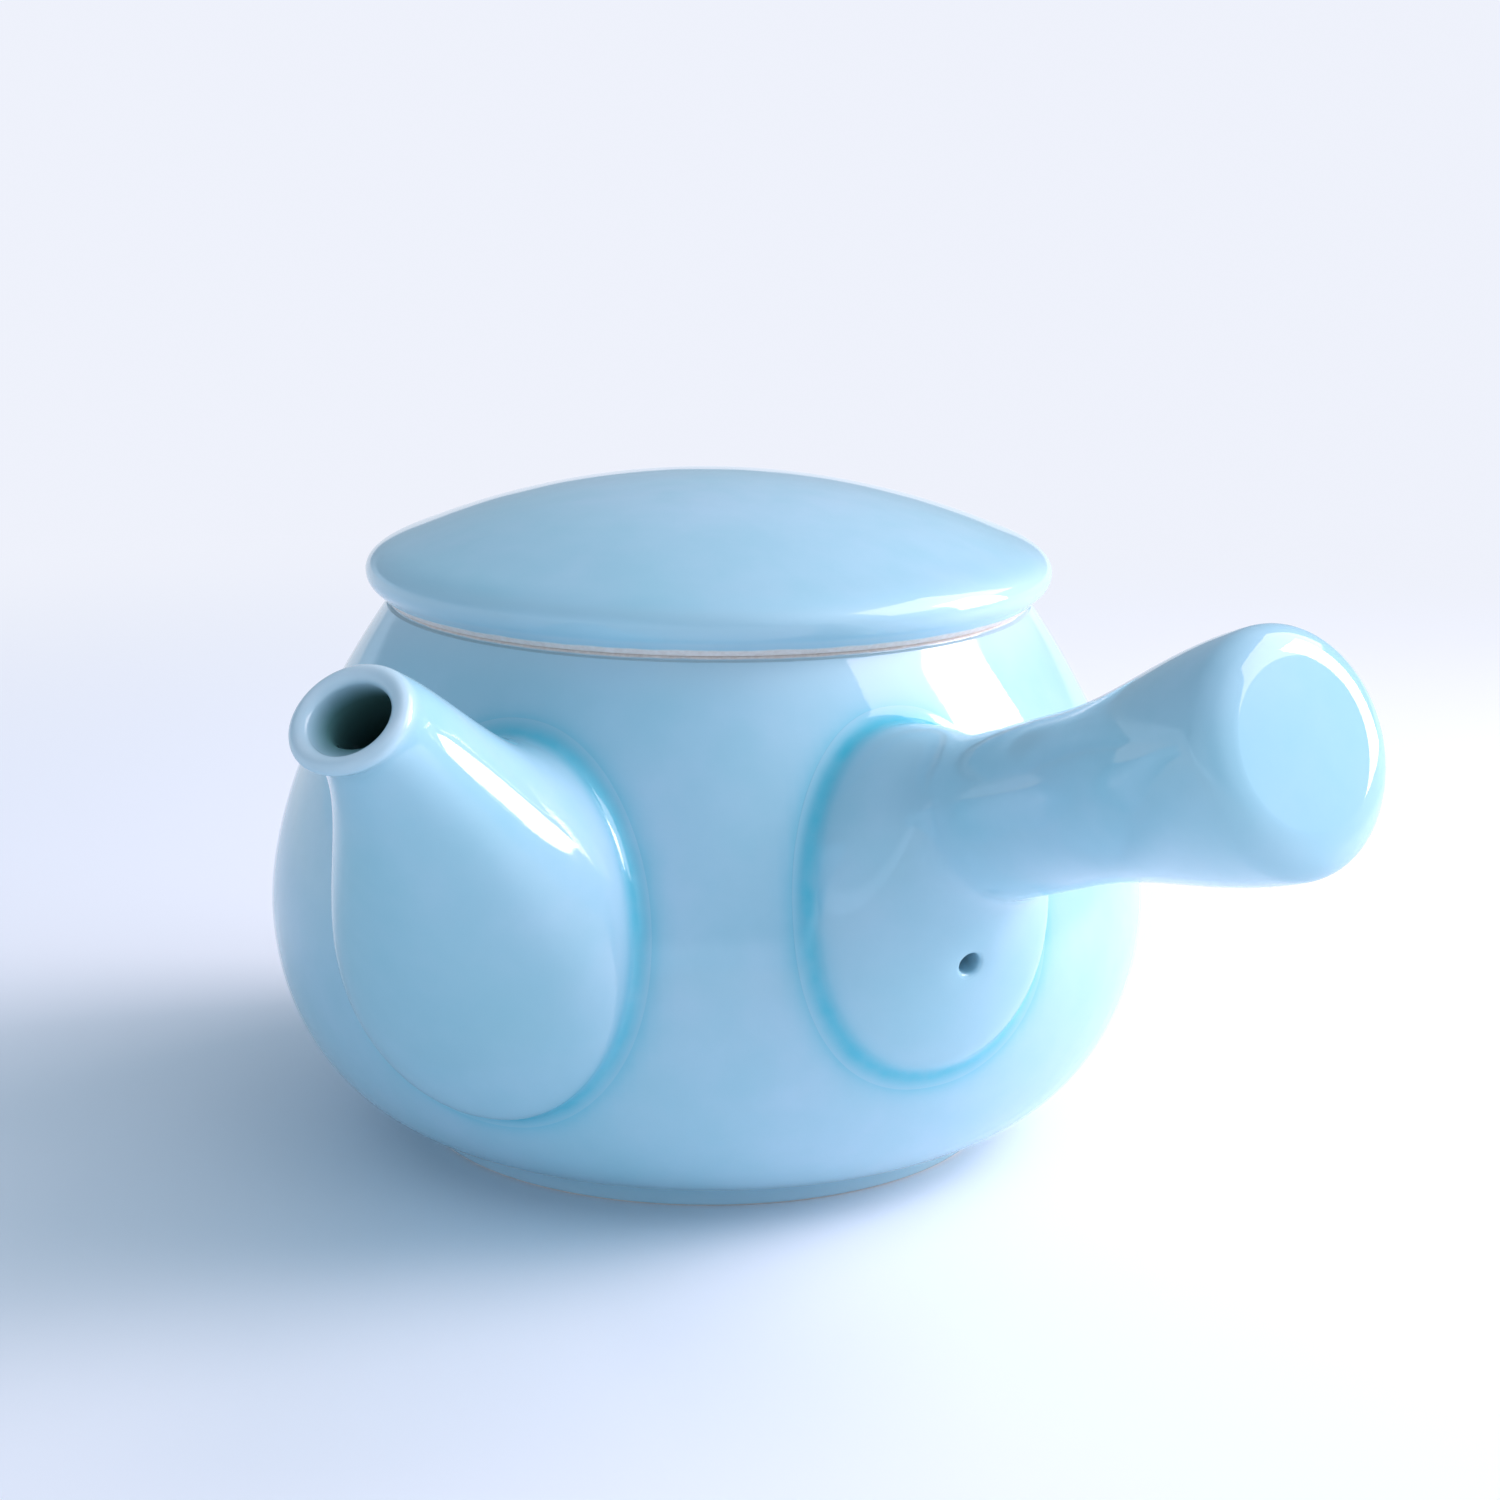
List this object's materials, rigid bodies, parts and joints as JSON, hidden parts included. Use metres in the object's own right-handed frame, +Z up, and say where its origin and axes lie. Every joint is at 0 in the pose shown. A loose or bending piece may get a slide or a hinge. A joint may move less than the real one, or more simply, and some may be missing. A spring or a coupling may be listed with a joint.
{
  "type": "side-handled teapot",
  "caption": "Squat ceramic teapot with a hollow straight handle at the side, a short upturned spout with a strainer behind it, and a low domed lid without a knob.",
  "frame": {"origin": "on the pot's axis, at the shallow recess under the pot, 1 mm above the surface that it stands on", "axes": "+Z up along the pot's axis, +X along the handle, seen from above; the spout points between +X and -Y"},
  "size_m": [0.1645, 0.1312, 0.0823],
  "materials": {
    "glazed_body": "glossy pale blue glaze, pooling darker in the creases",
    "glazed_inside": "thin glossy glaze",
    "glazed_lid": "glossy pale blue glaze, bare clay at the seat"
  },
  "bodies": {
    "pot": {"pot_body": "glazed_body", "spout": "glazed_body", "handle": "glazed_body", "strainer": "glazed_inside"},
    "lid": {"lid": "glazed_lid"}
  },
  "joints": [
    {"name": "lid_lift", "type": "slide", "parent": "pot", "child": "lid", "axis": [0, 0, 1], "range_m": [0, 0.06]}
  ]
}
